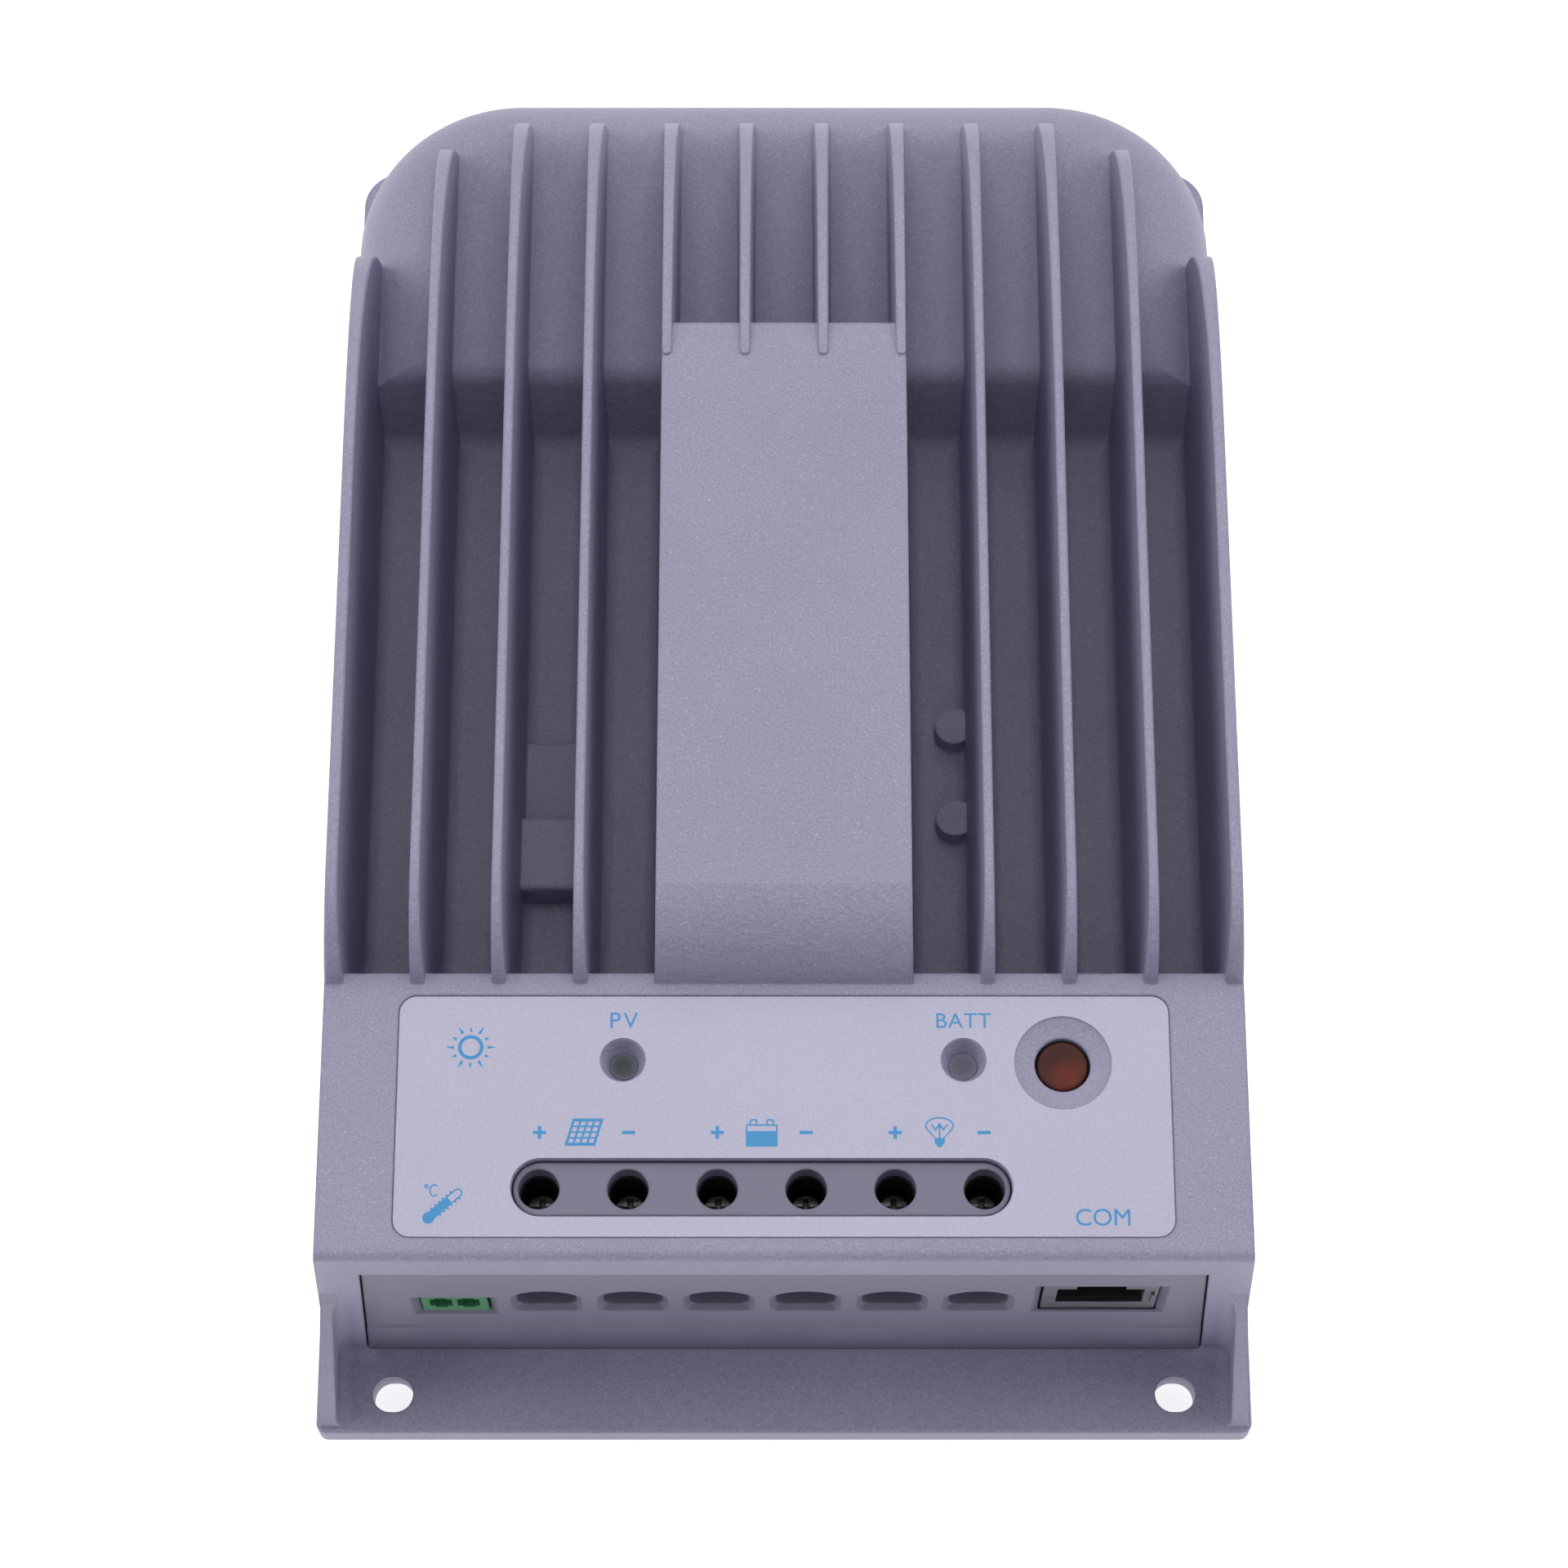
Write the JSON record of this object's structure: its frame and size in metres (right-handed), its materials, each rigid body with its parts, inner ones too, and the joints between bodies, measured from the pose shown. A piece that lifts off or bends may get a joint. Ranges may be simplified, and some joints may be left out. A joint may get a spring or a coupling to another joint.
{
  "type": "solar charge controller",
  "caption": "Finned die-cast solar charge controller with screw terminals under a lip, status lights, a push button and a modular data port.",
  "frame": {"origin": "centre of the bounding rectangle on the mounting plane (the back of the unit)", "axes": "+Z out of the finned front, +Y up the unit away from the terminals, +X to the right seen from the front"},
  "size_m": [0.1342, 0.205, 0.064],
  "materials": {
    "cast_paint": "fine-textured lavender-grey powder coat",
    "cover_metal": "satin grey paint on sheet metal",
    "screw_steel": "zinc plated",
    "insert_plastic": "smooth grey moulding",
    "label_film": "satin silver-lavender film with blue print",
    "button_plastic": "dark translucent red-brown",
    "switch_plastic": "black",
    "lens_plastic": "clear diffusing rod",
    "led_package": "white package",
    "circuit_board": "green solder mask",
    "connector_black": "black glass-filled moulding",
    "contact_gold": "gold flash",
    "shell_metal": "tin plated sheet",
    "header_green": "green moulding",
    "contact_tin": "tin plated copper",
    "block_plastic": "black moulding",
    "package_black": "moulded epoxy",
    "thermal_pad": "silicone pad",
    "shunt_alloy": "resistance alloy",
    "clamp_steel": "bright nickel plated steel",
    "ferrite": "powder iron ring",
    "copper_wire": "enamelled copper",
    "capacitor_sleeve": "dark sleeve on an aluminium can"
  },
  "bodies": {
    "chassis": {"housing": "cast_paint", "back_cover": "cover_metal", "back_cover_screws": "screw_steel", "terminal_insert": "insert_plastic", "front_label": "label_film", "switch_body": "switch_plastic", "pv_light_pipe": "lens_plastic", "batt_light_pipe": "lens_plastic", "indicator_leds": "led_package", "panel_board": "circuit_board", "panel_board_screws": "screw_steel", "board_link_base": "connector_black", "board_link_pins": "contact_gold", "main_board": "circuit_board", "main_board_screws": "screw_steel", "rj45_shell": "shell_metal", "rj45_insert": "connector_black", "rj45_contacts": "contact_gold", "sensor_header": "header_green", "sensor_pins": "contact_tin", "terminal_block": "block_plastic", "bus_strips": "contact_tin", "transistors_left": "package_black", "transistors_right": "package_black", "thermal_pad_left": "thermal_pad", "thermal_pad_right": "thermal_pad", "shunt_resistors": "shunt_alloy", "controller_chip": "package_black", "inductor_core_1": "ferrite", "inductor_winding_1": "copper_wire", "inductor_core_2": "ferrite", "inductor_winding_2": "copper_wire", "output_capacitor_1": "capacitor_sleeve", "input_capacitor_1": "capacitor_sleeve", "output_capacitor_2": "capacitor_sleeve", "input_capacitor_2": "capacitor_sleeve", "output_capacitor_3": "capacitor_sleeve", "input_capacitor_3": "capacitor_sleeve", "output_capacitor_4": "capacitor_sleeve", "input_capacitor_4": "capacitor_sleeve"},
    "button": {"button_cap": "button_plastic", "switch_plunger": "switch_plastic"},
    "screw_1": {"terminal_screw_1": "clamp_steel"},
    "cage_1": {"clamp_cage_1": "clamp_steel"},
    "screw_2": {"terminal_screw_2": "clamp_steel"},
    "cage_2": {"clamp_cage_2": "clamp_steel"},
    "screw_3": {"terminal_screw_3": "clamp_steel"},
    "cage_3": {"clamp_cage_3": "clamp_steel"},
    "screw_4": {"terminal_screw_4": "clamp_steel"},
    "cage_4": {"clamp_cage_4": "clamp_steel"},
    "screw_5": {"terminal_screw_5": "clamp_steel"},
    "cage_5": {"clamp_cage_5": "clamp_steel"},
    "screw_6": {"terminal_screw_6": "clamp_steel"},
    "cage_6": {"clamp_cage_6": "clamp_steel"}
  },
  "joints": [
    {"name": "button_press", "type": "slide", "parent": "chassis", "child": "button", "axis": [0, 0, -1], "range_m": [0, 0.0005], "stiffness_N_per_m": 800, "springref_m": -0.001},
    {"name": "cage_1_lift", "type": "slide", "parent": "chassis", "child": "cage_1", "axis": [0, 0, 1], "range_m": [0, 0.0042]},
    {"name": "screw_1_turn", "type": "hinge", "parent": "chassis", "child": "screw_1", "pos_m": [-0.033, -0.0802, 0.042], "axis": [0, 0, -1], "range_deg": [0, 2521]},
    {"name": "cage_2_lift", "type": "slide", "parent": "chassis", "child": "cage_2", "axis": [0, 0, 1], "range_m": [0, 0.0042]},
    {"name": "screw_2_turn", "type": "hinge", "parent": "chassis", "child": "screw_2", "pos_m": [-0.021, -0.0802, 0.042], "axis": [0, 0, -1], "range_deg": [0, 2521]},
    {"name": "cage_3_lift", "type": "slide", "parent": "chassis", "child": "cage_3", "axis": [0, 0, 1], "range_m": [0, 0.0042]},
    {"name": "screw_3_turn", "type": "hinge", "parent": "chassis", "child": "screw_3", "pos_m": [-0.009, -0.0802, 0.042], "axis": [0, 0, -1], "range_deg": [0, 2521]},
    {"name": "cage_4_lift", "type": "slide", "parent": "chassis", "child": "cage_4", "axis": [0, 0, 1], "range_m": [0, 0.0042]},
    {"name": "screw_4_turn", "type": "hinge", "parent": "chassis", "child": "screw_4", "pos_m": [0.003, -0.0802, 0.042], "axis": [0, 0, -1], "range_deg": [0, 2521]},
    {"name": "cage_5_lift", "type": "slide", "parent": "chassis", "child": "cage_5", "axis": [0, 0, 1], "range_m": [0, 0.0042]},
    {"name": "screw_5_turn", "type": "hinge", "parent": "chassis", "child": "screw_5", "pos_m": [0.015, -0.0802, 0.042], "axis": [0, 0, -1], "range_deg": [0, 2521]},
    {"name": "cage_6_lift", "type": "slide", "parent": "chassis", "child": "cage_6", "axis": [0, 0, 1], "range_m": [0, 0.0042]},
    {"name": "screw_6_turn", "type": "hinge", "parent": "chassis", "child": "screw_6", "pos_m": [0.027, -0.0802, 0.042], "axis": [0, 0, -1], "range_deg": [0, 2521]}
  ],
  "couplings": [
    {"joint": "screw_1_turn", "follows": "cage_1_lift", "rad_per_m": 10472},
    {"joint": "screw_2_turn", "follows": "cage_2_lift", "rad_per_m": 10472},
    {"joint": "screw_3_turn", "follows": "cage_3_lift", "rad_per_m": 10472},
    {"joint": "screw_4_turn", "follows": "cage_4_lift", "rad_per_m": 10472},
    {"joint": "screw_5_turn", "follows": "cage_5_lift", "rad_per_m": 10472},
    {"joint": "screw_6_turn", "follows": "cage_6_lift", "rad_per_m": 10472}
  ]
}
